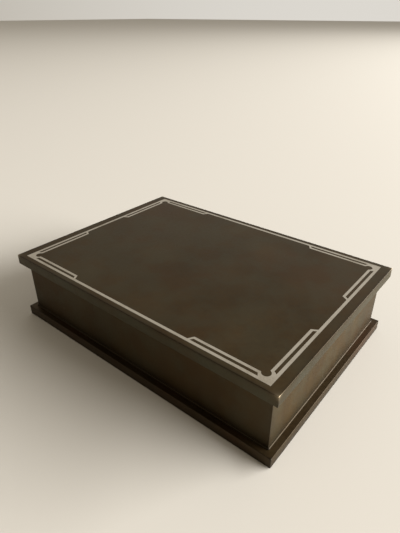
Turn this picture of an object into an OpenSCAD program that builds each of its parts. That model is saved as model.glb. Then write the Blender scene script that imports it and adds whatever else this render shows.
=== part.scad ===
// Hinged desk box of sheet bronze, mitred and soldered: an overhanging lid with an inlaid silver
// border, upright walls, a flanged plinth, a cedar lining and a strip hinge behind the lid's rim.
// The origin is on the table under the middle of the box; +X is to the right, +Y is to the back.

/* [Overall] */
// Length of the lid, left to right
lid_length = 240; // [190:1:320]
// Depth of the lid, front to back
lid_depth = 168; // [130:1:240]
// Height of the lid's top sheet above the table
box_height = 57.5; // [44:0.5:90]

/* [Lid] */
// Thickness of the lid's sheet
lid_sheet = 1.2; // [0.9:0.1:1.5]
// Height of the lid's rim, from its lower edge to the lid's top
lid_rim = 7.8; // [6.5:0.1:10]
// Radius of the lid's top edge and corners
lid_edge_r = 0.3; // [0.2:0.1:1]
// How far the lid stands out past the walls on every side
lid_overhang = 5.5; // [4.5:0.1:8]
// Gap between the walls' upper edge and the underside of the lid's sheet
lid_gap = 0.3; // [0.2:0.1:1]

/* [Silver border] */
// Bare bronze between the border and the lid's left and right edges
border_side_inset = 7.3; // [4:0.1:12]
// Bare bronze between the border and the lid's front and back edges
border_front_inset = 4; // [3:0.1:12]
// Thickness of the silver sheet
silver_sheet = 0.5; // [0.4:0.05:0.7]
// How far the silver stands out of the bronze
silver_proud = 0.05; // [0.05:0.05:0.2]
// Width of the border's outer line
border_line = 2.1; // [1.5:0.1:4]
// Width of the slot in each corner arm
border_slot = 2.1; // [1:0.1:3]
// Width of the bar on the inner side of each slot
border_bar = 1.9; // [1.5:0.1:4]
// Reach of each corner arm along the border, from the outer corner
arm_reach = 59; // [35:1:60]
// Lean of the arms' sloping ends from square
arm_lean = 31.5; // [0:0.5:45]
// Width of the sloping strip at the far end of each arm
far_leg = 1.6; // [1:0.1:3]
// Width of the sloping strip at the corner end of each arm
near_leg = 1.8; // [1:0.1:3.5]
// Radius of the round notch in each corner
notch_r = 2.9; // [1.5:0.05:3.5]
// Distance of the notch's centre from the border's two outer edges
notch_inset = 7; // [6.5:0.1:9]

/* [Walls] */
// Thickness of the walls' sheet
wall_sheet = 1; // [0.7:0.1:1.4]
// Radius of the walls' upright corners
wall_corner_r = 0.3; // [0.2:0.1:0.8]
// Size of the quarter-round bead along the walls' foot
bead = 0.9; // [0.5:0.1:2]

/* [Plinth] */
// Height of the plinth's upper face above the table
plinth_height = 8.2; // [7:0.1:14]
// Thickness of the plinth's sheet
plinth_sheet = 1; // [0.7:0.1:1.4]
// Radius of the plinth's top edge and corners
plinth_edge_r = 0.3; // [0.2:0.1:0.9]
// How far the plinth stays inside the lid's outline
plinth_setback = 0.4; // [0:0.1:2]
// Clearance of the wooden base board and the felt inside the plinth's rim
board_clear = 0.3; // [0.1:0.1:1]
// Thickness of the felt under the base
felt = 1.5; // [1:0.1:3]
// How far the felt stands below the plinth's rim
felt_proud = 0.5; // [0.3:0.1:0.9]

/* [Base screws] */
// Diameter of a screw's shank
screw_d = 2.5; // [2:0.1:3]
// Diameter of a screw's countersunk head
screw_head_d = 5; // [4:0.1:6]
// Height of a screw's countersunk head
screw_head = 1.4; // [1:0.1:2]
// How deep a screw goes into the floor lining
screw_bite = 3; // [2:0.1:3.2]
// Distance of the screws from the plinth's edges
screw_inset = 22; // [12:1:40]

/* [Cedar lining] */
// Thickness of the cedar floor
floor_board = 4; // [3.8:0.1:6]
// Thickness of the cedar boards inside the walls
lining = 4; // [3:0.1:6]
// Clearance between the lining and the walls
lining_clear = 0.2; // [0.1:0.1:0.5]
// Depth of the rabbets that hold the end boards
rabbet = 2; // [1:0.1:2.5]
// Diameter of a brad
brad_d = 1; // [0.8:0.1:1.4]
// Length of a brad
brad_length = 12; // [8:0.5:20]
// Diameter of a brad's head
brad_head_d = 1.8; // [1.5:0.1:2.4]
// Thickness of a brad's head
brad_head = 0.4; // [0.3:0.1:0.8]
// Distance of the brads from the lining's upper and lower edges
brad_inset = 8; // [5:0.5:12]

/* [Lid board] */
// Thickness of the cedar board where it rests on the lining
lid_board_edge = 3; // [2:0.1:4]
// How far the board's raised field drops into the lining
field_drop = 2; // [1:0.1:3]
// Clearance between the board and the walls
lid_board_clear = 0.8; // [0.5:0.1:2]
// Clearance between the raised field and the lining
field_clear = 1.3; // [1:0.1:3]
// Clearance between swinging and fixed edges at the hinge side
swing_clear = 0.35; // [0.3:0.05:1]

/* [Hinge] */
// Length of the strip hinge
hinge_length = 190; // [100:1:200]
// Number of knuckles, an odd number
knuckles = 11; // [5:2:15]
// Diameter of the hinge pin
pin_d = 1.6; // [1.2:0.1:1.8]
// Radial clearance between the pin and the lid's knuckles
pin_clear = 0.05; // [0.02:0.01:0.08]
// Thickness of the hinge's leaves
leaf = 0.8; // [0.6:0.1:0.9]
// Clearance between the barrel and the sheets beside it
barrel_clear = 0.3; // [0.25:0.05:0.5]
// Gap between neighbouring knuckles
knuckle_gap = 0.2; // [0.1:0.05:0.5]
// Height of the pin's axis above the lid's lower edge
pin_rise = 1.4; // [1.2:0.05:1.6]

/* [Hidden] */
$fn = 64;

bronze = [0.26, 0.21, 0.16];
silver = [0.66, 0.63, 0.56];
cedar = [0.62, 0.38, 0.24];
brass = [0.72, 0.58, 0.30];
steel = [0.55, 0.55, 0.57];
baize = [0.13, 0.22, 0.16];

// How far a cut runs past the face it starts from
cut = 1;

// Heights, from the table up
plinth_under = plinth_height - plinth_sheet;
floor_top = plinth_height + floor_board;
rim_foot = box_height - lid_rim;
lid_under = box_height - lid_sheet;
wall_top = lid_under - lid_gap;
lining_top = lid_under - lid_board_edge;
field_under = lining_top - field_drop;

// Plan sizes, outermost first
plinth_length = lid_length - 2 * plinth_setback;
plinth_depth = lid_depth - 2 * plinth_setback;
base_length = plinth_length - 2 * (plinth_sheet + board_clear);
base_depth = plinth_depth - 2 * (plinth_sheet + board_clear);
wall_length = lid_length - 2 * lid_overhang;
wall_depth = lid_depth - 2 * lid_overhang;
lining_length = wall_length - 2 * (wall_sheet + lining_clear);
lining_depth = wall_depth - 2 * (wall_sheet + lining_clear);
inside_length = lining_length - 2 * lining;
inside_depth = lining_depth - 2 * lining;
border_length = lid_length - 2 * border_side_inset;
border_depth = lid_depth - 2 * border_front_inset;
border_band = border_line + border_slot + border_bar;
// The mouth's sides cross the notch's circle: this share of its radius is their distance from its centre
mouth_share = 0.97;
arm_slope = tan(arm_lean);

// Hinge, in the gap between the back wall and the lid's rim
hinge_gap = lid_overhang - lid_sheet;
pin_y = wall_depth / 2 + hinge_gap / 2;
pin_z = rim_foot + pin_rise;
barrel_r = hinge_gap / 2 - barrel_clear;
leaf_foot = barrel_r + knuckle_gap;
leaf_top = wall_top - lid_gap - pin_z;
knuckle_pitch = hinge_length / knuckles;

// The back edge of a lid piece whose lower edge, at height z, swings clear of a fixed edge
function swing_back(fixed_y, fixed_z, z) =
    pin_y - sqrt(pow(norm([pin_y - fixed_y, fixed_z - pin_z]) + swing_clear, 2) - pow(z - pin_z, 2));
board_back = swing_back(wall_depth / 2 - wall_sheet, wall_top, lining_top);
field_back = min(swing_back(inside_depth / 2, lining_top, field_under), inside_depth / 2 - field_clear);

// Carries a profile round a rectangle with rounded corners. The profile's x is measured outwards
// from the centre line of the corners and its y is the height.
module carry_round(length, depth, corner_r) {
    half = [length / 2 - corner_r, depth / 2 - corner_r];
    for (side = [0:3]) {
        out = half[side % 2];
        along = half[(side + 1) % 2];
        rotate([0, 0, 90 * side]) {
            translate([out, along, 0]) rotate([90, 0, 0]) linear_extrude(2 * along) children();
            translate([out, along, 0]) rotate_extrude(angle = 90) children();
        }
    }
}

// A square-cornered board between two heights
module board(length, depth, low, high) {
    translate([-length / 2, -depth / 2, low]) cube([length, depth, high - low]);
}

// The same with rounded upright corners
module rounded_board(length, depth, corner_r, low, high) {
    board(length - 2 * corner_r, depth, low, high);
    board(length, depth - 2 * corner_r, low, high);
    for (x = [-1, 1], y = [-1, 1])
        translate([x * (length / 2 - corner_r), y * (depth / 2 - corner_r), low])
            cylinder(r = corner_r, h = high - low);
}

// Profile of a rim's outer side: upright, with a rounded top edge
module rim_edge(edge_r, foot, top) {
    translate([0, foot]) square([edge_r, top - edge_r - foot]);
    translate([0, top - edge_r]) intersection() {
        circle(edge_r);
        square(edge_r);
    }
}

// A pan of sheet, open below: a top sheet with its rims mitred and soldered round it
module pan(length, depth, edge_r, sheet, foot, top) {
    difference() {
        union() {
            carry_round(length, depth, edge_r) rim_edge(edge_r, foot, top);
            board(length - 2 * edge_r, depth - 2 * edge_r, foot, top);
        }
        board(length - 2 * sheet, depth - 2 * sheet, foot - cut, top - sheet);
    }
}

module plinth_pan() {
    color(bronze) difference() {
        pan(plinth_length, plinth_depth, plinth_edge_r, plinth_sheet, felt_proud, plinth_height);
        at_base_screws() cylinder(d = screw_d, h = 2 * plinth_height);
    }
}

module foot_bead() {
    color(bronze) carry_round(wall_length, wall_depth, wall_corner_r)
        translate([wall_corner_r, plinth_height]) intersection() {
            circle(bead);
            square(bead);
        }
}

module body_band() {
    color(bronze) difference() {
        rounded_board(wall_length, wall_depth, wall_corner_r, plinth_height, wall_top);
        board(wall_length - 2 * wall_sheet, wall_depth - 2 * wall_sheet,
              plinth_height - cut, wall_top + cut);
    }
}

// Places of the base screws: three along the front and three along the back
module at_base_screws() {
    for (x = [-1:1], y = [-1, 1])
        translate([x * (plinth_length / 2 - screw_inset), y * (plinth_depth / 2 - screw_inset), 0])
            children();
}

// One countersunk screw, head down on the felt
module base_screw() {
    translate([0, 0, felt]) {
        cylinder(d1 = screw_head_d, d2 = screw_d, h = screw_head);
        cylinder(d = screw_d, h = plinth_height + screw_bite - felt);
    }
}

module base_screws() {
    color(brass) at_base_screws() base_screw();
}

module base_board() {
    color(cedar) difference() {
        board(base_length, base_depth, felt, plinth_under);
        at_base_screws() base_screw();
    }
}

module base_felt() {
    color(baize) board(base_length, base_depth, 0, felt);
}

module floor_lining() {
    color(cedar) difference() {
        board(lining_length, lining_depth, plinth_height, floor_top);
        at_base_screws() base_screw();
    }
}

// Places of the brads: two at each end of the front and the back boards, driven inwards from the
// lining's outer face into the end boards
module at_brads() {
    for (x = [-1, 1], y = [-1, 1], z = [floor_top + brad_inset, lining_top - brad_inset])
        translate([x * (lining_length / 2 - lining / 2), y * lining_depth / 2, z])
            rotate([90 * y, 0, 0]) children();
}

module brad() {
    cylinder(d = brad_d, h = brad_length);
    cylinder(d = brad_head_d, h = brad_head);
}

module lining_brads() {
    color(steel) at_brads() brad();
}

// A full-length lining board for the front (side -1) or the back (side 1), rabbeted at its ends
module long_lining(side) {
    color(cedar) difference() {
        translate([0, side * (lining_depth - lining) / 2, 0])
            board(lining_length, lining, floor_top, lining_top);
        for (end = [-1, 1]) end_board(end);
        at_brads() brad();
    }
}

// A lining board at the left (end -1) or the right (end 1), standing in the rabbets
module end_board(end) {
    translate([end * (lining_length - lining) / 2, 0, 0])
        board(lining, lining_depth - 2 * (lining - rabbet), floor_top, lining_top);
}

module end_lining(end) {
    color(cedar) difference() {
        end_board(end);
        at_brads() brad();
    }
}

module front_lining() {
    long_lining(-1);
}

module back_lining() {
    long_lining(1);
}

module left_lining() {
    end_lining(-1);
}

module right_lining() {
    end_lining(1);
}

// The cuts in one corner of the border, drawn from its outer corner with an arm along +X and one
// along +Y: a slot in each arm, and a round notch that opens to the field between sloping mouths
module corner_cuts() {
    mouth_r = mouth_share * notch_r;
    start = [notch_inset + mouth_r * cos(arm_lean), notch_inset - mouth_r * sin(arm_lean)];
    mouth = [start.x + (border_band + notch_r - start.y) * arm_slope, border_band + notch_r];
    near = start.x + near_leg / cos(arm_lean);
    far = arm_reach - far_leg / cos(arm_lean);
    slot_top = border_line + border_slot;
    for (arm = [0, 1]) mirror([arm, -arm, 0])
        polygon([[near + (border_line - start.y) * arm_slope, border_line],
                 [far, border_line],
                 [far - border_slot * arm_slope, slot_top],
                 [near + (slot_top - start.y) * arm_slope, slot_top]]);
    translate([notch_inset, notch_inset]) circle(notch_r);
    polygon([[notch_inset, notch_inset], start, mouth, [mouth.y, mouth.x], [start.y, start.x]]);
}

// The border's inner outline in one corner, from the end of one arm round to the end of the other
arm_shoulder = arm_reach - (border_band - border_line) * arm_slope;
corner_outline = [[arm_reach, border_line], [arm_shoulder, border_band], [border_band, border_band],
                  [border_band, arm_shoulder], [border_line, arm_reach]];
field_outline = [for (corner = [0:3], i = [0:4])
    let (p = corner_outline[corner % 2 == 0 ? 4 - i : i],
         x = corner == 1 || corner == 2 ? 1 : -1, y = corner < 2 ? -1 : 1)
    [x * (border_length / 2 - p.x), y * (border_depth / 2 - p.y)]];

module border_plan() {
    difference() {
        square([border_length, border_depth], center = true);
        polygon(field_outline);
        for (x = [0, 1], y = [0, 1]) mirror([x, 0, 0]) mirror([0, y, 0])
            translate([-border_length / 2, -border_depth / 2]) corner_cuts();
    }
}

module silver_border() {
    color(silver) translate([0, 0, box_height + silver_proud - silver_sheet])
        linear_extrude(silver_sheet) border_plan();
}

module lid_pan() {
    color(bronze) difference() {
        pan(lid_length, lid_depth, lid_edge_r, lid_sheet, rim_foot, box_height);
        translate([0, 0, box_height + silver_proud - silver_sheet])
            linear_extrude(silver_sheet + cut) border_plan();
    }
}

// A board of the lid whose front and back edges are given
module lid_slab(length, front, back, low, high) {
    translate([0, (front + back) / 2, 0]) board(length, back - front, low, high);
}

module lid_board() {
    lid_board_length = wall_length - 2 * (wall_sheet + lid_board_clear);
    lid_board_front = -wall_depth / 2 + wall_sheet + lid_board_clear;
    color(cedar) {
        lid_slab(lid_board_length, lid_board_front, board_back, lining_top, lid_under);
        lid_slab(inside_length - 2 * field_clear, -inside_depth / 2 + field_clear, field_back,
                 field_under, lining_top + cut);
    }
}

// One leaf of the hinge with every second knuckle. first is the number of its first knuckle, side
// is -1 for the leaf on the wall and 1 for the leaf on the lid's rim.
module hinge_leaf(first, side, bore_r) {
    leaf_y = side * (hinge_gap - leaf) / 2;
    translate([-hinge_length / 2, pin_y, pin_z]) difference() {
        union() {
            translate([0, leaf_y - leaf / 2, leaf_foot]) cube([hinge_length, leaf, leaf_top - leaf_foot]);
            for (k = [first:2:knuckles - 1]) translate([k * knuckle_pitch + knuckle_gap / 2, 0, 0]) {
                rotate([0, 90, 0]) cylinder(r = barrel_r, h = knuckle_pitch - knuckle_gap);
                translate([0, leaf_y - leaf / 2, 0])
                    cube([knuckle_pitch - knuckle_gap, leaf, leaf_foot + leaf / 2]);
            }
        }
        translate([-cut, 0, 0]) rotate([0, 90, 0]) cylinder(r = bore_r, h = hinge_length + 2 * cut);
    }
}

module hinge_body_leaf() {
    color(brass) hinge_leaf(0, -1, pin_d / 2);
}

module hinge_lid_leaf() {
    color(brass) hinge_leaf(1, 1, pin_d / 2 + pin_clear);
}

module hinge_pin() {
    color(steel) translate([-hinge_length / 2, pin_y, pin_z])
        rotate([0, 90, 0]) cylinder(d = pin_d, h = hinge_length);
}

plinth_pan();
foot_bead();
body_band();
base_board();
base_felt();
base_screws();
floor_lining();
front_lining();
back_lining();
left_lining();
right_lining();
lining_brads();
hinge_body_leaf();
hinge_pin();
lid_pan();
silver_border();
lid_board();
hinge_lid_leaf();
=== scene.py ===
"""Dresses the desk box: sheet bronze with a silver border, a cedar lining and a felt foot.

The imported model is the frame. Every piece made here is worked out from the frame's own boxes and from
the sizes in the property groups below, in metres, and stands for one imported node.
"""

from math import acos, cos, pi, radians, sin, tan

import bmesh
import bpy
import numpy as np
from bpy.props import FloatProperty, FloatVectorProperty, PointerProperty
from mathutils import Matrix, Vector
from mathutils.geometry import tessellate_polygon


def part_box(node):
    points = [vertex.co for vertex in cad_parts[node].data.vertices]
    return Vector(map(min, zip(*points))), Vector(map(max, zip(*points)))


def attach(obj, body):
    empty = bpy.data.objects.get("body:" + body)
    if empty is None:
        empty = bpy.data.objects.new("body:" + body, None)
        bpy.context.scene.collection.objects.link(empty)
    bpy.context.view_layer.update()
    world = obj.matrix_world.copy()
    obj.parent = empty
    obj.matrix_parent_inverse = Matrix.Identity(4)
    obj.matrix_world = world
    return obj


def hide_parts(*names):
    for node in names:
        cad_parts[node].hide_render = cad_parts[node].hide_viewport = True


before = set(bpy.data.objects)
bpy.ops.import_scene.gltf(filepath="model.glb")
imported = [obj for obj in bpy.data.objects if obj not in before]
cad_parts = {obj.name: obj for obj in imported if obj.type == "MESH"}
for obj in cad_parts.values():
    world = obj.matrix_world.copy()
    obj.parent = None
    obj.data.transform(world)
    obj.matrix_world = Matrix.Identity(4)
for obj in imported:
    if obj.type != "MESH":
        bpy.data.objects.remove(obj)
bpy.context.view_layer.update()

bl_info = {
    "name": "Desk Box",
    "version": (1, 0, 0),
    "blender": (4, 5, 0),
    "location": "View3D > Sidebar > Desk Box",
    "description": "Makes the visible pieces of a bronze desk box with a silver border",
    "category": "Object",
}

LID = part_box("lid_pan")
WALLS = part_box("body_band")
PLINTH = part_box("plinth_pan")
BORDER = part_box("silver_border")
# Distance of the notch mouth's sides from the notch's centre, as a share of the notch's radius
MOUTH_SHARE = 0.97
# Points closer together than this are one point
SAME_POINT = 1e-6
# Edges that turn by more than this stay sharp
SHARP_TURN = radians(35)
# How far wear, painted shade and a painted glint reach in from an edge, and how far below its top a sheet's
# side begins
EDGE_REACH = 0.0008
SIDE_REACH = 0.001
# Bare flat bronze between the border and the ripple of the lid's field
RIPPLE_MARGIN = 0.002
# How fast the cedar's rings turn, in radians to a metre
RING_RATE = 900.0


# ---------------------------------------------------------------- settings


def length(name, description, default):
    """A property for a size in metres."""
    return FloatProperty(
        name=name, description=description, default=default, min=0.0, precision=5, unit="LENGTH"
    )


def colour(name, description, default):
    """A property for a colour, in linear red, green and blue."""
    return FloatVectorProperty(
        name=name, description=description, default=default, min=0.0, max=1.0, size=3, subtype="COLOR"
    )


class BoxSizes(bpy.types.PropertyGroup):
    """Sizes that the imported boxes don't give."""

    lid_sheet: length("Lid sheet", "Thickness of the lid's sheet", 0.0012)
    lid_edge_r: length("Lid edge", "Radius of the lid's top edge and corners", 0.0003)
    wall_sheet: length("Wall sheet", "Thickness of the walls' sheet", 0.001)
    wall_corner_r: length("Wall corner", "Radius of the walls' upright corners", 0.0003)
    plinth_sheet: length("Plinth sheet", "Thickness of the plinth's sheet", 0.001)
    plinth_edge_r: length("Plinth edge", "Radius of the plinth's top edge and corners", 0.0003)
    sheet_ease: length("Sheet ease", "Radius that the sheets' cut edges are filed to", 0.00015)
    cell: length("Cell", "Longest side of a mesh cell on the large sheets", 0.005)
    sag: length("Sag", "Depth that the lid's field sinks and ripples", 0.00012)
    screw_d: length("Screw", "Diameter of a base screw's shank", 0.0025)
    screw_inset: length("Screw inset", "Distance of the screws from the plinth's edges", 0.022)
    lining: length("Lining", "Thickness of the cedar lining", 0.004)
    rabbet: length("Rabbet", "Depth of the rabbets that hold the end boards", 0.002)
    board_ease: length("Board ease", "Radius that the boards' edges are sanded to", 0.0004)
    field_drop: length("Field drop", "How far the lid board's field stands down", 0.002)
    field_clear: length("Field clearance", "Gap between that field and the lining", 0.0013)
    lid_board_r: length("Lid board corner", "Radius of the lid board's corners", 0.0006)
    felt_ease: length("Felt ease", "Radius of the felt's soft edges", 0.0004)


class BorderSizes(bpy.types.PropertyGroup):
    """The plan of the silver border."""

    line: length("Line", "Width of the outer line", 0.0021)
    slot: length("Slot", "Width of the slot in each corner arm", 0.0021)
    bar: length("Bar", "Width of the bar on the inner side of each slot", 0.0019)
    reach: length("Reach", "Reach of each arm along the border, from the outer corner", 0.059)
    lean: FloatProperty(
        name="Lean", description="Lean of the arms' ends from square", default=radians(31.5), subtype="ANGLE"
    )
    far_leg: length("Far leg", "Width of the sloping strip at the arm's far end", 0.0016)
    near_leg: length("Near leg", "Width of the sloping strip at the corner end", 0.0018)
    notch_r: length("Notch", "Radius of the round notch in each corner", 0.0029)
    notch_inset: length("Notch inset", "Distance of the notch's centre from the outer edges", 0.007)
    proud: length("Proud", "How far the polished silver still stands out of the bronze", 0.00001)
    seam: length("Seam", "Gap between the silver and the bronze round it", 0.00002)


class BoxColours(bpy.types.PropertyGroup):
    """Colours of the finishes."""

    patina_dark: colour("Dark patina", "Darkest brown of the bronze", (0.044, 0.0265, 0.0095))
    patina: colour("Patina", "Middle brown of the bronze", (0.058, 0.0360, 0.0135))
    patina_light: colour("Light patina", "Lightest brown of the bronze", (0.073, 0.0480, 0.0195))
    patina_red: colour("Red patina", "Red-brown where heat has turned the patina", (0.075, 0.0350, 0.0130))
    patina_green: colour("Verdigris", "Green-grey bloom in the bronze's recesses", (0.060, 0.0565, 0.0340))
    # painted shade: this dark colour is painted along the bronze's edges, where their rounding shows a dark
    # reflection, and towards its foot, where shade falls
    painted_shade: colour("Grime", "Old wax and dirt along the bronze's edges and joints", (0.014, 0.010, 0.006))
    bronze_worn: colour("Worn bronze", "Bronze where hands have rubbed its edges", (0.11, 0.085, 0.055))
    # partly wear and partly a painted glint: the light colour painted on the bronze's very corners
    bronze_bare_and_glint: colour("Bare bronze", "Bronze at the very corners, rubbed bare", (0.42, 0.33, 0.21))
    silver: colour("Silver", "Clean silver", (0.57, 0.525, 0.45))
    tarnish: colour("Tarnish", "Tarnished silver", (0.39, 0.345, 0.275))
    cedar_light: colour("Cedar, early wood", "The light wood between the rings", (0.46, 0.235, 0.125))
    cedar_dark: colour("Cedar, late wood", "The dark rings", (0.25, 0.105, 0.05))
    brass: colour("Brass", "The hinge and the screws", (0.68, 0.50, 0.235))
    steel: colour("Steel", "The pin and the brads", (0.47, 0.46, 0.45))
    felt: colour("Felt", "The felt foot", (0.030, 0.062, 0.040))
    floor: colour("Floor", "The studio floor", (0.58, 0.55, 0.50))
    daylight: colour("Daylight", "The light of the window", (1.0, 0.988, 0.962))
    wall_sky: colour("Pale sky", "The light from the pale side of the stage", (0.72, 0.69, 0.635))
    dim_sky: colour("Dim sky", "The light from the dim side of the stage", (0.345, 0.305, 0.24))


class StageSettings(bpy.types.PropertyGroup):
    """The camera and the light."""

    camera_place: FloatVectorProperty(
        name="Camera", description="Where the camera stands", default=(0.1909, -0.2340, 0.2257), unit="LENGTH"
    )
    camera_tilt: FloatProperty(
        name="Tilt", description="How far the camera looks down", default=radians(29.8), subtype="ANGLE"
    )
    camera_turn: FloatProperty(
        name="Turn", description="How far the camera is turned left of the +Y axis",
        default=radians(39.2), subtype="ANGLE",
    )
    lens: FloatProperty(name="Lens", description="Focal length in millimetres", default=29.94, min=1.0)
    window_distance: length("Window distance", "Distance of the window from the box", 6.0)
    window_bearing: FloatProperty(
        name="Bearing", description="Bearing of the window, from +X towards +Y", default=radians(34),
        subtype="ANGLE",
    )
    window_rise: FloatProperty(
        name="Rise", description="Height of the window's middle, as an angle", default=radians(17),
        subtype="ANGLE",
    )
    window_power: FloatProperty(name="Window power", description="Watts", default=1380.0, min=0.0)
    window_width: length("Window width", "Width of the window", 6.6)
    window_height: length("Window height", "Height of the window", 3.0)
    wall_bearing: FloatProperty(
        name="Wall bearing", description="Bearing of the stage's pale side, from +X towards +Y",
        default=radians(80), subtype="ANGLE",
    )
    sky: FloatProperty(name="Sky", description="Strength of the light from all round", default=1.0, min=0.0)
    floor_size: length("Floor size", "Side of the square floor", 30.0)


# ---------------------------------------------------------------- surfaces


def samples(start, end, cell, support):
    """Places along a straight side: its two ends, one place just inside each of them, so that the
    shading of a rounded edge stays on that edge, and evenly spaced places no further apart than a cell."""
    between = max(1, int(np.ceil((end - start) / cell)))
    inner = np.linspace(start + support, end - support, between + 1)
    return np.concatenate([[start], inner, [end]])


class Plan:
    """A rectangle with rounded corners, seen from above.

    spots are the corners' centres and the places between them, once round anticlockwise, and out is the
    outward direction at each of them, which turns through a quarter at every corner. A point at distance
    d outside the line of the centres is spot + d * out. A point inside that line is the spot clamped to
    the rectangle that lies so far within it, which has square corners.
    """

    def __init__(self, low, high, corner_r, cell, turns=6, support=0.0003):
        self.xs = samples(low[0] + corner_r, high[0] - corner_r, cell, support)
        self.ys = samples(low[1] + corner_r, high[1] - corner_r, cell, support)
        self.low = np.array([self.xs[0], self.ys[0]])
        self.high = np.array([self.xs[-1], self.ys[-1]])
        right, left = self.xs[-1], self.xs[0]
        back, front = self.ys[-1], self.ys[0]
        sides = [
            np.stack([self.xs, np.full_like(self.xs, front)], 1),
            np.stack([np.full_like(self.ys, right), self.ys], 1),
            np.stack([self.xs[::-1], np.full_like(self.xs, back)], 1),
            np.stack([np.full_like(self.ys, left), self.ys[::-1]], 1),
        ]
        swing = np.linspace(0, pi / 2, turns + 1)[1:-1]
        self.spots = np.concatenate([
            spots for side in sides for spots in (side, np.repeat(side[-1:], turns - 1, 0))
        ])
        angles = np.concatenate([
            np.concatenate([np.zeros(len(side)), swing]) + (k - 1) * pi / 2 for k, side in enumerate(sides)
        ])
        self.out = np.stack([np.cos(angles), np.sin(angles)], 1)

    def carry(self, profile):
        """One ring for each point (out, height) of the profile: the plan's spots moved out, or in where it
        is negative, by the first number, at the height of the second."""
        outward = profile[:, 0, None, None]
        inward = np.minimum(outward, 0)
        flat = np.clip(self.spots, self.low - inward, self.high + inward) + np.maximum(outward, 0) * self.out
        height = np.broadcast_to(profile[:, 1, None, None], flat.shape[:2] + (1,))
        return np.concatenate([flat, height], 2)

    def cover(self, height, inward=0.0):
        """The flat grid that fills the ring of the spots, or one that lies so far within it."""
        x, y = np.meshgrid(self.xs, self.ys)
        x = np.clip(x, self.low[0] + inward, self.high[0] - inward)
        y = np.clip(y, self.low[1] + inward, self.high[1] - inward)
        return np.stack([x, y, np.full_like(x, height)], 2)


def eased(corners, radii, closed=True, steps=6):
    """A profile whose corners are rounded. The arc at a corner p of radius r, where the direction turns
    by 2h, starts and ends at a = p - t * before and b = p + t * after, with t = r * tan(h), and its points
    are the weighted means of a, p and b with weights (1 - s)^2, 2 s (1 - s) cos(h) and s^2, which lie on a
    circle."""
    p = np.array(corners, float)
    r = np.array(radii, float)[:, None]
    after = np.roll(p, -1, 0) - p
    after /= np.linalg.norm(after, axis=1)[:, None]
    before = np.roll(after, 1, 0)
    h = np.arccos(np.clip((before * after).sum(1), -1, 1))[:, None] / 2
    if not closed:
        h[[0, -1]] = 0
    t = r * np.tan(h)
    s = np.linspace(0, 1, steps + 1)[None, :, None]
    weights = [(1 - s) ** 2, 2 * s * (1 - s) * np.cos(h)[:, None], s**2]
    points = [(p - t * before)[:, None], p[:, None], (p + t * after)[:, None]]
    return (sum(w * q for w, q in zip(weights, points)) / sum(weights)).reshape(-1, 2)


def quads(rows, columns, first, wrap_rows, wrap_columns):
    """Corners of the cells of a grid whose points are numbered row by row from first."""
    row = np.arange(rows if wrap_rows else rows - 1)[:, None]
    column = np.arange(columns if wrap_columns else columns - 1)[None]
    next_row = (row + 1) % rows * columns
    next_column = (column + 1) % columns
    here = row * columns
    corners = [here + column, here + next_column, next_row + next_column, next_row + column]
    return np.stack(np.broadcast_arrays(*corners), 2).reshape(-1, 4) + first


def solid(name, grids, caps=()):
    """A closed mesh object. grids are (points, wrap_rows, wrap_columns) and caps are (points, triangles).
    Points at the same place are merged, faces that this leaves without an area are dropped, the rest are
    turned outwards, and sharp edges stay sharp."""
    points, faces, count = [], [], 0
    for grid, wrap_rows, wrap_columns in grids:
        rows, columns = grid.shape[:2]
        faces += quads(rows, columns, count, wrap_rows, wrap_columns).tolist()
        points.append(grid.reshape(-1, 3))
        count += rows * columns
    for spots, triangles in caps:
        faces += (np.array(triangles) + count).tolist()
        points.append(spots)
        count += len(spots)
    mesh = bpy.data.meshes.new(name)
    mesh.from_pydata(np.concatenate(points).tolist(), [], faces)
    work = bmesh.new()
    work.from_mesh(mesh)
    bmesh.ops.remove_doubles(work, verts=work.verts, dist=SAME_POINT)
    bmesh.ops.dissolve_degenerate(work, edges=work.edges, dist=SAME_POINT)
    bmesh.ops.recalc_face_normals(work, faces=work.faces)
    work.to_mesh(mesh)
    work.free()
    return shaded(link(name, mesh))


def link(name, mesh):
    """A new object in the scene, at the origin."""
    made = bpy.data.objects.new(name, mesh)
    bpy.context.scene.collection.objects.link(made)
    return made


def shaded(made):
    """The same object with smooth faces and sharp edges."""
    made.data.shade_smooth()
    made.data.set_sharp_from_angle(angle=SHARP_TURN)
    return made


def pan(name, box, edge_r, sheet, ease, cell, ripple=None):
    """Sheet, open below. The profile runs from under the top sheet down inside the rim, round its filed
    foot, up outside and over the rounded top edge, and is carried round the plan. A grid closes it on top,
    moved by ripple(x, y) if that is given, and another one underneath."""
    low, high = box
    plan = Plan(low, high, edge_r, cell)
    inner = edge_r - sheet
    under = high.z - sheet
    corners = [(inner, under), (inner, low.z), (edge_r, low.z), (edge_r, high.z), (0, high.z)]
    profile = eased(corners, [0, ease, ease, edge_r, 0], closed=False)
    top = plan.cover(high.z)
    if ripple:
        top[..., 2] += ripple(top[..., 0], top[..., 1])
    return solid(name, [
        (plan.carry(profile), False, True), (top, False, False), (plan.cover(under, -inner), False, False)
    ])


def hoop(name, box, corner_r, corners, radii, cell):
    """A closed profile, with its corners rounded, carried once round the plan."""
    plan = Plan(*box, corner_r, cell)
    return solid(name, [(plan.carry(eased(corners, radii)), True, True)])


def inset(outline, distance):
    """An outline moved sideways, to the left of its own direction, with mitred corners: each point moves
    by distance * (n1 + n2) / (1 + n1 . n2), where n1 and n2 are the normals of its two sides."""
    along = np.roll(outline, -1, 0) - outline
    along /= np.linalg.norm(along, axis=1)[:, None]
    left = np.stack([-along[:, 1], along[:, 0]], 1)
    before = np.roll(left, 1, 0)
    return outline + distance * (before + left) / (1 + (before * left).sum(1))[:, None]


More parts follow.
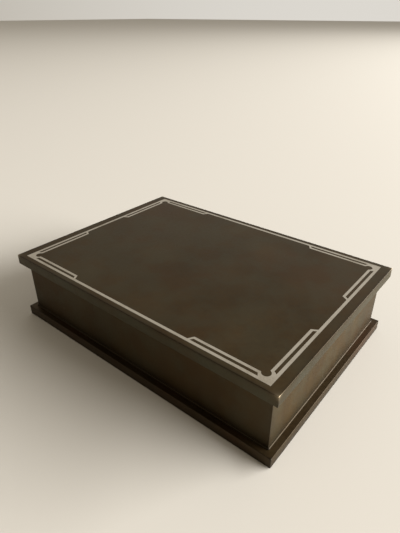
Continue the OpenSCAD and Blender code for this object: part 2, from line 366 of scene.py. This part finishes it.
def plate(name, outlines, profile, axes=(0, 1, 2)):
    """A flat piece. The first outline runs anticlockwise and those of its holes clockwise. For each point
    (distance, height) of the profile every outline is inset by that distance at that height, and the
    first and last heights are filled in. axes says which axis the outline's x, its y and the height are."""
    rings = [np.stack([inset(outline, d) for d, _ in profile]) for outline in outlines]
    heights = [height for _, height in profile]
    turn = np.argsort(axes)

    def raised(flat, height):
        level = np.asarray(height).reshape(-1, *[1] * (flat.ndim - 1))
        return np.concatenate([flat, np.broadcast_to(level, flat.shape[:-1] + (1,))], -1)[..., turn]

    grids = [(raised(ring, heights), False, True) for ring in rings]
    caps = []
    for level in (0, -1):
        loops = [ring[level] for ring in rings]
        filled = tessellate_polygon([[Vector((*spot, 0.0)) for spot in loop] for loop in loops])
        caps.append((raised(np.concatenate(loops), [heights[level]] * sum(map(len, loops))), filled))
    return solid(name, grids, caps)


def slab_profile(low, high, ease):
    """The profile of a plate whose upper and lower edges are rounded."""
    corners = [(ease * 2, low), (0, low), (0, high), (ease * 2, high)]
    return eased(corners, [0, ease, ease, 0], closed=False, steps=4)


def rectangle(low, high):
    """The corners of a rectangle, anticlockwise."""
    return np.array([(low[0], low[1]), (high[0], low[1]), (high[0], high[1]), (low[0], high[1])])


def circle(centre, radius, points=32):
    """Points round a circle, clockwise, as a hole's outline runs."""
    turn = np.linspace(0, -2 * pi, points, endpoint=False)
    return np.stack([centre[0] + radius * np.cos(turn), centre[1] + radius * np.sin(turn)], 1)


def carve(made, cutter):
    """Takes the cutter's shape out of a piece, and throws the cutter away."""
    boolean = made.modifiers.new("carve", "BOOLEAN")
    boolean.operation = "DIFFERENCE"
    boolean.solver = "EXACT"
    boolean.object = cutter
    carved = bpy.data.meshes.new_from_object(made.evaluated_get(bpy.context.evaluated_depsgraph_get()))
    carved.name = made.name
    made.modifiers.clear()
    made.data = carved
    bpy.data.objects.remove(cutter)
    return shaded(made)


# ---------------------------------------------------------------- shader maths


class Value:
    """A socket's value. Arithmetic on it, with another value or a number, adds Math nodes."""

    def __init__(self, shader, socket):
        self.shader = shader
        self.socket = socket

    def maths(self, operation, first, second=0.0):
        return self.shader.node("Math", {"operation": operation}, {0: first, 1: second})

    def __add__(self, other):
        return self.maths("ADD", self, other)

    def __sub__(self, other):
        return self.maths("SUBTRACT", self, other)

    def __rsub__(self, other):
        return self.maths("SUBTRACT", other, self)

    def __mul__(self, other):
        return self.maths("MULTIPLY", self, other)

    def __abs__(self):
        return self.maths("ABSOLUTE", self)

    __radd__ = __add__
    __rmul__ = __mul__

    def near(self, reach):
        """1 where the value is nothing, fading as e to the power of minus value / reach."""
        return self.maths("EXPONENT", self * (-1 / reach))

    def step(self, low, high):
        """0 below low, 1 above high, and a smooth rise between them."""
        settings = {"interpolation_type": "SMOOTHSTEP"}
        return self.shader.node("MapRange", settings, {"Value": self, "From Min": low, "From Max": high})

    def ramp(self, *stops):
        """A colour picked by the value from stops of (value, colour)."""
        return self.shader.node("ValToRGB", {"stops": stops}, {"Fac": self})


class Shader:
    """The nodes of a material, or of a world, whose place is then the direction that is looked in."""

    def __init__(self, name, world=False):
        self.owner = (bpy.data.worlds if world else bpy.data.materials).new(name)
        self.owner.use_nodes = True
        self.tree = self.owner.node_tree
        self.tree.nodes.clear()
        self.place = self.node("TexCoord", output="Generated" if world else "Object")

    def node(self, kind, settings=None, inputs=None, output=0):
        """Adds a node, sets it up, then feeds its sockets, and gives the value of one of its outputs."""
        made = self.tree.nodes.new("ShaderNode" + kind)
        for name, value in (settings or {}).items():
            if name == "stops":
                elements = made.color_ramp.elements
                while len(elements) < len(value):
                    elements.new(1.0)
                for element, (position, colour_) in zip(elements, value):
                    element.position = position
                    element.color = (*colour_, 1.0)
            else:
                setattr(made, name, value)
        for name, value in (inputs or {}).items():
            if isinstance(value, Value):
                self.tree.links.new(value.socket, made.inputs[name])
            else:
                made.inputs[name].default_value = value
        return Value(self, made.outputs[output])

    def noise(self, scale, detail=3.0, rough=0.5, stretch=(1, 1, 1), shift=(0, 0, 0)):
        """Smooth noise from 0 to 1. scale is how many patches there are to a metre, stretch multiplies it
        along each axis, and shift moves the pattern."""
        mapped = self.node("Mapping", {}, {"Vector": self.place, "Scale": stretch, "Location": shift})
        inputs = {"Vector": mapped, "Scale": scale, "Detail": detail, "Roughness": rough}
        return self.node("TexNoise", {}, inputs)

    def mix(self, share, first, second):
        """The first colour where share is 0 and the second where it is 1."""
        first, second = [v if isinstance(v, Value) else (*v, 1.0) for v in (first, second)]
        return self.node("Mix", {"data_type": "RGBA"}, {0: share, 6: first, 7: second}, output=2)

    def split(self):
        """The three Object coordinates as values."""
        xyz = self.tree.nodes.new("ShaderNodeSeparateXYZ")
        self.tree.links.new(self.place.socket, xyz.inputs[0])
        return [Value(self, socket) for socket in xyz.outputs]

    def bump(self, height, depth, strength=1.0):
        """The normal of a surface that height, from 0 to 1, raises by up to depth metres."""
        return self.node("Bump", {}, {"Height": height, "Distance": depth, "Strength": strength})

    def finish(self, kind, output_kind, **inputs):
        """Ends the tree with a shader, whose sockets are given with _ for a space, and gives the owner."""
        named = {name.replace("_", " "): value for name, value in inputs.items()}
        named = {n: (*v, 1.0) if "Color" in n and not isinstance(v, Value) else v for n, v in named.items()}
        shader = self.node(kind, {}, named)
        out = self.tree.nodes.new("ShaderNode" + output_kind)
        self.tree.links.new(shader.socket, out.inputs["Surface"])
        return self.owner

    def surface(self, **inputs):
        """Finishes a material with a Principled surface."""
        return self.finish("BsdfPrincipled", "OutputMaterial", **inputs)


# ---------------------------------------------------------------- finishes


def bronze(
    name, box, colours, streaks=0.0, red=0.5, bloom=0.35, sides=0.0, painted_dark_edge=0.0, foot=0.0, bare_and_glint=0.0
):
    """Bronze with a brown patina under thin wax. Clouds of 30 to 90 mm shift its colour and gloss, and
    fine flecks roughen it. The other arguments are shares from 0 to 1, except foot: streaks run down it,
    red patches and a green-grey bloom lie over it, and sides thickens the bloom below its top. The edges
    of its box are rubbed light or, with painted_dark_edge, painted dark as painted shade where their
    rounding shows a dark reflection, and painted shade also darkens it about foot metres high along its
    lower edge. bare_and_glint rubs its upper corner points through the patina to a light colour, which
    is partly wear and partly a painted glint."""
    low, high = box
    shader = Shader(name)
    x, y, z = shader.split()
    from_end = (high.x - low.x) / 2 - abs(x - (high.x + low.x) / 2)
    from_side = (high.y - low.y) / 2 - abs(y - (high.y + low.y) / 2)
    from_top = high.z - z
    end, side, top = [distance.near(EDGE_REACH) for distance in (from_end, from_side, from_top)]
    edges = (end + side) * top + end * side
    end, side, top = [distance.near(2 * EDGE_REACH) for distance in (from_end, from_side, from_top)]
    # painted glint: the upper corner points, partly rubbed bare and partly painted light as a glint
    points = end * side * top * bare_and_glint

    clouds = shader.noise(24, detail=5, rough=0.58)
    drift = shader.noise(9, detail=2, shift=(3.1, 1.7, 0.4))
    flecks = shader.noise(420, detail=3, rough=0.6)
    runs = shader.noise(150, detail=3, stretch=(1, 1, 0.06), shift=(0.3, 0.9, 0.0))
    broad_runs = shader.noise(45, detail=3, stretch=(1, 1, 0.15), shift=(0.8, 0.1, 0.0))
    run = (runs * 0.5 + broad_runs * 0.5 - 0.5) * streaks
    tone = clouds * 0.5 + drift * 0.2 + flecks * 0.3 + run * 0.7
    brown = tone.ramp((0.32, colours.patina_dark), (0.50, colours.patina), (0.70, colours.patina_light))
    blush = shader.noise(13, detail=4, rough=0.6, shift=(5.0, 0.7, 2.0)).step(0.46, 0.66) * red
    patches = shader.noise(60, detail=4, shift=(0.0, 2.0, 1.0)) * 0.7 + drift * 0.3
    green = patches.step(0.40, 0.62) * bloom + (1 - from_top.near(SIDE_REACH)) * (0.3 + clouds * 0.6) * sides
    tinted = shader.mix(green, shader.mix(blush, brown, colours.patina_red), colours.patina_green)
    # painted shade: the bronze is painted darker towards its foot
    if foot:
        painted_shade = (z - low.z).near(foot) * (0.45 + clouds * 0.5)
        tinted = shader.mix(painted_shade, tinted, colours.painted_shade)
    # painted shade: painted_dark_edge paints the edges dark instead of rubbed light, as a painted dark
    # reflection of their rounding
    rubbed = edges * flecks.step(0.35, 0.65) * 0.4 * (1 - painted_dark_edge)
    worn = shader.mix(rubbed, shader.mix(edges * painted_dark_edge, tinted, colours.painted_shade), colours.bronze_worn)
    # painted glint: the corner points get the light bare bronze colour
    worn = shader.mix(points, worn, colours.bronze_bare_and_glint)
    rough = 0.55 + 0.07 * streaks + (clouds - 0.5) * 0.22 + (flecks - 0.5) * 0.25 + run * 0.3
    rough = rough - rubbed * 0.12 - points * 0.2
    grain = shader.noise(1800, detail=2) * 0.5 + flecks * 0.5
    return shader.surface(
        Base_Color=worn,
        Metallic=1.0,
        Roughness=rough,
        Coat_Weight=0.1 + (clouds - 0.5) * 0.2,
        Coat_Roughness=0.4,
        Normal=shader.bump(grain, 0.00004, 0.5),
    )


def silver(colours):
    """Soft polished silver with grey-brown tarnish in patches and fine rubbing marks."""
    shader = Shader("silver_finish")
    patches = shader.noise(70, detail=4, rough=0.6)
    marks = shader.noise(900, detail=3, rough=0.6)
    tarnish = (patches * 0.7 + marks * 0.3).step(0.42, 0.74)
    return shader.surface(
        Base_Color=shader.mix(tarnish, colours.silver, colours.tarnish),
        Metallic=1.0,
        Roughness=0.34 + tarnish * 0.16 + (marks - 0.5) * 0.1,
        Normal=shader.bump(marks, 0.00002, 0.5),
    )


def cedar(name, colours, grain_axis, shift=0.0):
    """Oiled cedar. The rings are waves of the distance across the grain, bent by slow noise that is drawn
    out along it, and the pores are fine noise drawn out further. grain_axis is 0 for X and 1 for Y."""
    shader = Shader(name)
    long = [6.0 if axis != grain_axis else 0.5 for axis in range(3)]
    pores_long = [1.0 if axis != grain_axis else 0.03 for axis in range(3)]
    bend = shader.noise(7, detail=2, stretch=long, shift=(shift, shift, shift))
    figure = shader.noise(28, detail=3, stretch=long, shift=(shift + 0.5, 0.0, shift))
    across = shader.split()[1 - grain_axis] + bend * 0.035 + figure * 0.003
    rings = shader.node("Math", {"operation": "SINE"}, {0: across * RING_RATE}) * 0.5 + 0.5
    pores = shader.noise(2600, detail=2, stretch=pores_long, shift=(0.0, shift, 0.2))
    tone = rings * 0.34 + figure * 0.5 + (pores - 0.5) * 0.5
    return shader.surface(
        Base_Color=tone.ramp((0.15, colours.cedar_light), (0.8, colours.cedar_dark)),
        Roughness=0.5 + pores * 0.2 - rings * 0.06,
        Coat_Weight=0.12,
        Coat_Roughness=0.35,
        Normal=shader.bump(pores, 0.00006, 0.6),
    )


def metal(name, tint, rough, along=(1, 1, 1)):
    """Plain metal with fine drawing marks and a little dullness in patches."""
    shader = Shader(name)
    marks = shader.noise(1500, detail=3, stretch=along)
    dull = shader.noise(120, detail=3)
    return shader.surface(
        Base_Color=shader.mix(dull.step(0.4, 0.7) * 0.5, tint, [c * 0.62 for c in tint]),
        Metallic=1.0,
        Roughness=rough + (dull - 0.5) * 0.2 + (marks - 0.5) * 0.15,
        Normal=shader.bump(marks, 0.00002, 0.6),
    )


def felt(colours):
    """Pressed wool: matted fibres drawn out at random, with a soft sheen."""
    shader = Shader("felt_finish")
    fibres = shader.noise(1300, detail=4, rough=0.7) * 0.6 + shader.noise(500, detail=2) * 0.4
    light = [min(1.0, c * 2.2) for c in colours.felt]
    return shader.surface(
        Base_Color=shader.mix(fibres.step(0.35, 0.7), colours.felt, light),
        Roughness=0.95,
        Sheen_Weight=0.4,
        Sheen_Roughness=0.5,
        Normal=shader.bump(fibres, 0.0003, 0.8),
    )


def dress(made, finish, body, slot_name, *nodes):
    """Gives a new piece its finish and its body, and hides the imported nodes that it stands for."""
    made.data.materials.clear()
    made.data.materials.append(finish)
    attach(made, body)
    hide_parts(*nodes)


def repaint(node, finish):
    """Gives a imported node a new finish."""
    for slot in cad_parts[node].material_slots:
        slot.material = finish


# ---------------------------------------------------------------- pieces


def border_outlines(size, grow=0.0):
    """The border's outlines: the outer edge, the field with its four notched corners, and eight slots.

    Each corner is drawn in its own frame, with x and y measured from the outer corner along the two
    arms, and turned into place. The field's outline runs up the end of one arm, along its bar, down the
    mouth to the notch, round the notch, and back out in the mirror image of that. grow makes the silver
    larger all round."""
    low, high = [np.array(corner[:2]) for corner in BORDER]
    slope = tan(size.lean)
    band = size.line + size.slot + size.bar
    start = size.notch_inset + MOUTH_SHARE * size.notch_r * np.array([cos(size.lean), -sin(size.lean)])
    arm = np.array([
        (size.reach, size.line),
        (size.reach - (band - size.line) * slope, band),
        (start[0] + (band - start[1]) * slope, band),
    ])
    opening = acos(MOUTH_SHARE)
    turn = np.linspace(opening - size.lean, size.lean - 1.5 * pi - opening, 25)
    notch = size.notch_inset + size.notch_r * np.stack([np.cos(turn), np.sin(turn)], 1)
    corner = np.concatenate([arm, notch, arm[::-1, ::-1]])
    slot_top = size.line + size.slot
    near = start[0] + size.near_leg / cos(size.lean)
    far = size.reach - size.far_leg / cos(size.lean)
    slot = np.array([
        (near + (size.line - start[1]) * slope, size.line),
        (near + (slot_top - start[1]) * slope, slot_top),
        (far - size.slot * slope, slot_top),
        (far, size.line),
    ])
    field, slots = [], []
    for x, y in [(0, 0), (0, 1), (1, 1), (1, 0)]:
        at = np.array([(low, high)[x][0], (low, high)[y][1]])
        flip = np.array([1 - 2 * x, 1 - 2 * y])
        mirrored = x != y
        field.append(at + flip * (corner[::-1] if mirrored else corner))
        for one in (slot, slot[::-1, ::-1]):
            slots.append(at + flip * (one[::-1] if mirrored else one))
    outlines = [rectangle(low, high), np.concatenate(field), *slots]
    return [inset(outline, -grow) for outline in outlines]


def field_ripple(size, border):
    """How far the lid's field lies below flat: a shallow dish and three crossing waves, under a window
    that is the product of 1 - u^4 for both directions and is nothing from the border inwards."""
    low, high = [np.array(corner[:2]) for corner in BORDER]
    half = (high - low) / 2 - (border.line + border.slot + border.bar) - RIPPLE_MARGIN
    middle = (high + low) / 2

    def ripple(x, y):
        u = (x - middle[0]) / half[0]
        v = (y - middle[1]) / half[1]
        window = np.clip(1 - u**4, 0, 1) * np.clip(1 - v**4, 0, 1)
        waves = np.sin(4.1 * u + 1.3 * v) + 0.7 * np.sin(2.3 * u - 5.2 * v + 1.1)
        waves += 0.5 * np.cos(7.3 * u + 3.9 * v)
        return -size.sag * window * (0.55 + 0.25 * waves)

    return ripple


class PieceOperator:
    """What the operators of all pieces share."""

    bl_options = {"REGISTER", "UNDO"}

    def execute(self, context):
        """Makes the piece with the scene's settings."""
        scene = context.scene
        self.make(scene.box_sizes, scene.box_colours, scene.box_border)
        return {"FINISHED"}


class DESKBOX_OT_lid(PieceOperator, bpy.types.Operator):
    """Make the lid from sheet bronze and cut the bed that the silver border lies in"""

    bl_idname = "desk_box.lid"
    bl_label = "Lid"

    def make(self, size, colours, border):
        ripple = field_ripple(size, border)
        lid = pan("lid_shell", LID, size.lid_edge_r, size.lid_sheet, size.sheet_ease, size.cell, ripple)
        heights = (BORDER[0].z, LID[1].z + size.cell)
        carve(lid, plate("bed", border_outlines(border, border.seam), [(0, height) for height in heights]))
        # painted shade on the lid's edges, and a painted glint on its upper corners
        finish = bronze("lid_bronze", LID, colours, red=0.3, sides=0.8, painted_dark_edge=0.8, bare_and_glint=1.0)
        dress(lid, finish, "lid", "bronze", "lid_pan")


class DESKBOX_OT_border(PieceOperator, bpy.types.Operator):
    """Cut the silver border"""

    bl_idname = "desk_box.border"
    bl_label = "Silver border"

    def make(self, size, colours, border):
        heights = (BORDER[0].z, LID[1].z + border.proud)
        inlay = plate("border_inlay", border_outlines(border), [(0, height) for height in heights])
        dress(inlay, silver(colours), "lid", "silver", "silver_border")


class DESKBOX_OT_walls(PieceOperator, bpy.types.Operator):
    """Set up the walls and lay the bead along their foot"""

    bl_idname = "desk_box.walls"
    bl_label = "Walls and bead"

    def make(self, size, colours, border):
        low, high = WALLS
        out = size.wall_corner_r
        inner = out - size.wall_sheet
        corners = [(inner, low.z), (out, low.z), (out, high.z), (inner, high.z)]
        walls = hoop("wall_band", WALLS, out, corners, [0, 0, size.sheet_ease, size.sheet_ease], size.cell)
        # painted shade on the walls' edges and towards their foot
        finish = bronze(
            "wall_bronze", WALLS, colours, streaks=1.0, red=0.15, bloom=0.4, painted_dark_edge=0.5, foot=0.005
        )
        dress(walls, finish, "box", "bronze", "body_band")

        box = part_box("foot_bead")
        foot, top = box[0].z, box[1].z
        width = low.x - box[0].x
        corners = [(out, foot), (out + width, foot), (out + width, top), (out, top)]
        bead = hoop("bead", WALLS, out, corners, [0, 0, width, 0], size.cell)
        # painted shade on the bead's edges and along its foot
        finish = bronze("bead_bronze", box, colours, red=0.1, painted_dark_edge=1.0, foot=0.001)
        dress(bead, finish, "box", "bronze", "foot_bead")


class DESKBOX_OT_plinth(PieceOperator, bpy.types.Operator):
    """Make the plinth from sheet bronze and drill it for the base screws"""

    bl_idname = "desk_box.plinth"
    bl_label = "Plinth"

    def make(self, size, colours, border):
        low, high = PLINTH
        sizes = (size.plinth_edge_r, size.plinth_sheet, size.sheet_ease, size.cell)
        plinth = pan("plinth_shell", PLINTH, *sizes)
        heights = (high.z - 3 * size.plinth_sheet, high.z + size.plinth_sheet)
        for x in (low.x + size.screw_inset, (low.x + high.x) / 2, high.x - size.screw_inset):
            for y in (low.y + size.screw_inset, high.y - size.screw_inset):
                outline = circle((x, y), size.screw_d / 2)[::-1]
                carve(plinth, plate("drill", [outline], [(0, height) for height in heights]))
        # painted shade on the plinth's edges and towards its foot
        finish = bronze("plinth_bronze", PLINTH, colours, red=1.0, bloom=0.1, painted_dark_edge=0.7, foot=0.004)
        dress(plinth, finish, "box", "bronze", "plinth_pan")


class DESKBOX_OT_lining(PieceOperator, bpy.types.Operator):
    """Plane the cedar boards of the floor and the four sides"""

    bl_idname = "desk_box.lining"
    bl_label = "Cedar lining"

    def make(self, size, colours, border):
        along_x = cedar("cedar_along_x", colours, 0)
        along_y = cedar("cedar_along_y", colours, 1, shift=1.3)
        low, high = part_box("floor_lining")
        floor = plate("cedar_floor", [rectangle(low, high)], slab_profile(low.z, high.z, size.board_ease))
        dress(floor, cedar("cedar_floor_finish", colours, 0, shift=2.1), "box", "cedar", "floor_lining")
        for side in ("left", "right"):
            low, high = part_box(f"{side}_lining")
            profile = slab_profile(low.z, high.z, size.board_ease)
            board = plate(f"cedar_{side}", [rectangle(low, high)], profile)
            dress(board, along_y, "box", "cedar", f"{side}_lining")
        for side, facing in (("front", 1), ("back", -1)):
            low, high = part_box(f"{side}_lining")
            outer, inner = (low.y, high.y)[::facing]
            step = outer + facing * size.rabbet
            left, right = low.x + size.lining, high.x - size.lining
            outline = np.array([
                (low.x, outer), (high.x, outer), (high.x, step), (right, step),
                (right, inner), (left, inner), (left, step), (low.x, step),
            ])[::facing]
            board = plate(f"cedar_{side}", [outline], slab_profile(low.z, high.z, size.board_ease))
            dress(board, along_x, "box", "cedar", f"{side}_lining")
        repaint("base_board", along_x)
        repaint("lining_brads", metal("brad_steel", colours.steel, 0.35))


class DESKBOX_OT_lid_board(PieceOperator, bpy.types.Operator):
    """Plane the lid's cedar board, with the raised field that drops into the lining"""

    bl_idname = "desk_box.lid_board"
    bl_label = "Lid board"

    def make(self, size, colours, border):
        low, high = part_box("lid_board")
        inside_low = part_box("left_lining")[1].x + size.field_clear
        inside_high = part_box("right_lining")[0].x - size.field_clear
        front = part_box("front_lining")[1].y + size.field_clear
        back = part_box("back_lining")[0].y - size.field_clear
        shoulder = low.z + size.field_drop
        ease, r = size.board_ease, size.lid_board_r
        field = Plan((inside_low, front), (inside_high, back), r, size.cell * 4)
        # A cell that gives the slab as many spots as the field
        cell = (high.x - low.x) / (len(field.xs) - 3) * 1.0001
        slab = Plan((low.x, low.y), (high.x, high.y), r, cell)
        rings = np.concatenate([
            field.carry(eased([(0, low.z), (r, low.z), (r, shoulder)], [0, ease, 0], closed=False)),
            slab.carry(eased([(r, shoulder), (r, high.z), (0, high.z)], [0, ease, 0], closed=False)),
        ])
        board = solid("cedar_lid_board", [
            (rings, False, True), (field.cover(low.z), False, False), (slab.cover(high.z), False, False)
        ])
        dress(board, cedar("cedar_lid_finish", colours, 0, shift=3.7), "lid", "cedar", "lid_board")


class DESKBOX_OT_felt(PieceOperator, bpy.types.Operator):
    """Cut the felt that the box stands on"""

    bl_idname = "desk_box.felt"
    bl_label = "Felt"

    def make(self, size, colours, border):
        low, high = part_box("base_felt")
        ease = size.felt_ease
        plan = Plan(low, high, 2 * ease, size.cell, turns=4)
        corners = [(0, low.z), (2 * ease, low.z), (2 * ease, high.z), (0, high.z)]
        profile = eased(corners, [0, ease, ease, 0], closed=False, steps=4)
        covers = [(plan.cover(height), False, False) for height in (low.z, high.z)]
        pad = solid("felt_pad", [(plan.carry(profile), False, True), *covers])
        dress(pad, felt(colours), "box", "felt", "base_felt")


class DESKBOX_OT_hardware(PieceOperator, bpy.types.Operator):
    """Finish the hinge, its pin and the base screws"""

    bl_idname = "desk_box.hardware"
    bl_label = "Hinge and screws"

    def make(self, size, colours, border):
        brass = metal("drawn_brass", colours.brass, 0.32, along=(0.05, 1, 1))
        for node in ("hinge_body_leaf", "hinge_lid_leaf", "base_screws"):
            repaint(node, brass)
        repaint("hinge_pin", metal("pin_steel", colours.steel, 0.28, along=(0.05, 1, 1)))


class DESKBOX_OT_stage(bpy.types.Operator):
    """Lay the floor, light it and set up the camera"""

    bl_idname = "desk_box.stage"
    bl_label = "Stage"
    bl_options = {"REGISTER", "UNDO"}

    def execute(self, context):
        scene = context.scene
        stage, colours = scene.box_stage, scene.box_colours
        half = stage.floor_size / 2
        mesh = bpy.data.meshes.new("floor")
        spots = [(-half, -half, 0), (half, -half, 0), (half, half, 0), (-half, half, 0)]
        mesh.from_pydata(spots, [], [(0, 1, 2, 3)])
        floor = link("floor", mesh)
        mesh.materials.append(Shader("floor_finish").surface(Base_Color=colours.floor, Roughness=0.9))

        window = bpy.data.lights.new("window", "AREA")
        window.shape = "RECTANGLE"
        window.size = stage.window_width
        window.size_y = stage.window_height
        window.energy = stage.window_power
        window.color = colours.daylight
        lamp = link("window", window)
        bearing, rise = stage.window_bearing, stage.window_rise
        way = Vector((cos(bearing) * cos(rise), sin(bearing) * cos(rise), sin(rise)))
        lamp.location = way * stage.window_distance
        lamp.rotation_euler = way.to_track_quat("Z", "Y").to_euler()
        lamp.visible_camera = False

        sky = Shader("studio", world=True)
        x, y, _ = sky.split()
        facing = x * cos(stage.wall_bearing) + y * sin(stage.wall_bearing)
        light = sky.mix(facing.step(-0.3, 0.9), colours.dim_sky, colours.wall_sky)
        scene.world = sky.finish("Background", "OutputWorld", Color=light, Strength=stage.sky)

        camera = link("camera", bpy.data.cameras.new("camera"))
        camera.location = stage.camera_place
        camera.rotation_euler = (pi / 2 - stage.camera_tilt, 0.0, stage.camera_turn)
        camera.data.lens = stage.lens
        camera.data.clip_start = 0.01
        scene.camera = camera
        scene.view_settings.view_transform = "Standard"
        return {"FINISHED"}


# ---------------------------------------------------------------- add-on

GROUPS = {
    "box_sizes": BoxSizes,
    "box_border": BorderSizes,
    "box_colours": BoxColours,
    "box_stage": StageSettings,
}
OPERATORS = (
    DESKBOX_OT_stage,
    DESKBOX_OT_plinth,
    DESKBOX_OT_walls,
    DESKBOX_OT_lid,
    DESKBOX_OT_border,
    DESKBOX_OT_lining,
    DESKBOX_OT_lid_board,
    DESKBOX_OT_felt,
    DESKBOX_OT_hardware,
)


class DESKBOX_PT_panel(bpy.types.Panel):
    """The desk box in the 3D view's sidebar."""

    bl_label = "Desk Box"
    bl_idname = "DESKBOX_PT_panel"
    bl_space_type = "VIEW_3D"
    bl_region_type = "UI"
    bl_category = "Desk Box"

    def draw(self, context):
        for operator in OPERATORS:
            self.layout.operator(operator.bl_idname)
        for name, group in GROUPS.items():
            column = self.layout.box().column()
            for prop in group.__annotations__:
                column.prop(getattr(context.scene, name), prop)


CLASSES = (*GROUPS.values(), *OPERATORS, DESKBOX_PT_panel)


def register():
    for one in CLASSES:
        bpy.utils.register_class(one)
    for name, group in GROUPS.items():
        setattr(bpy.types.Scene, name, PointerProperty(type=group))


def unregister():
    for name in GROUPS:
        delattr(bpy.types.Scene, name)
    for one in reversed(CLASSES):
        bpy.utils.unregister_class(one)


def main():
    register()
    for operator in OPERATORS:
        group, name = operator.bl_idname.split(".")
        getattr(getattr(bpy.ops, group), name)()


if __name__ == "__main__":
    main()
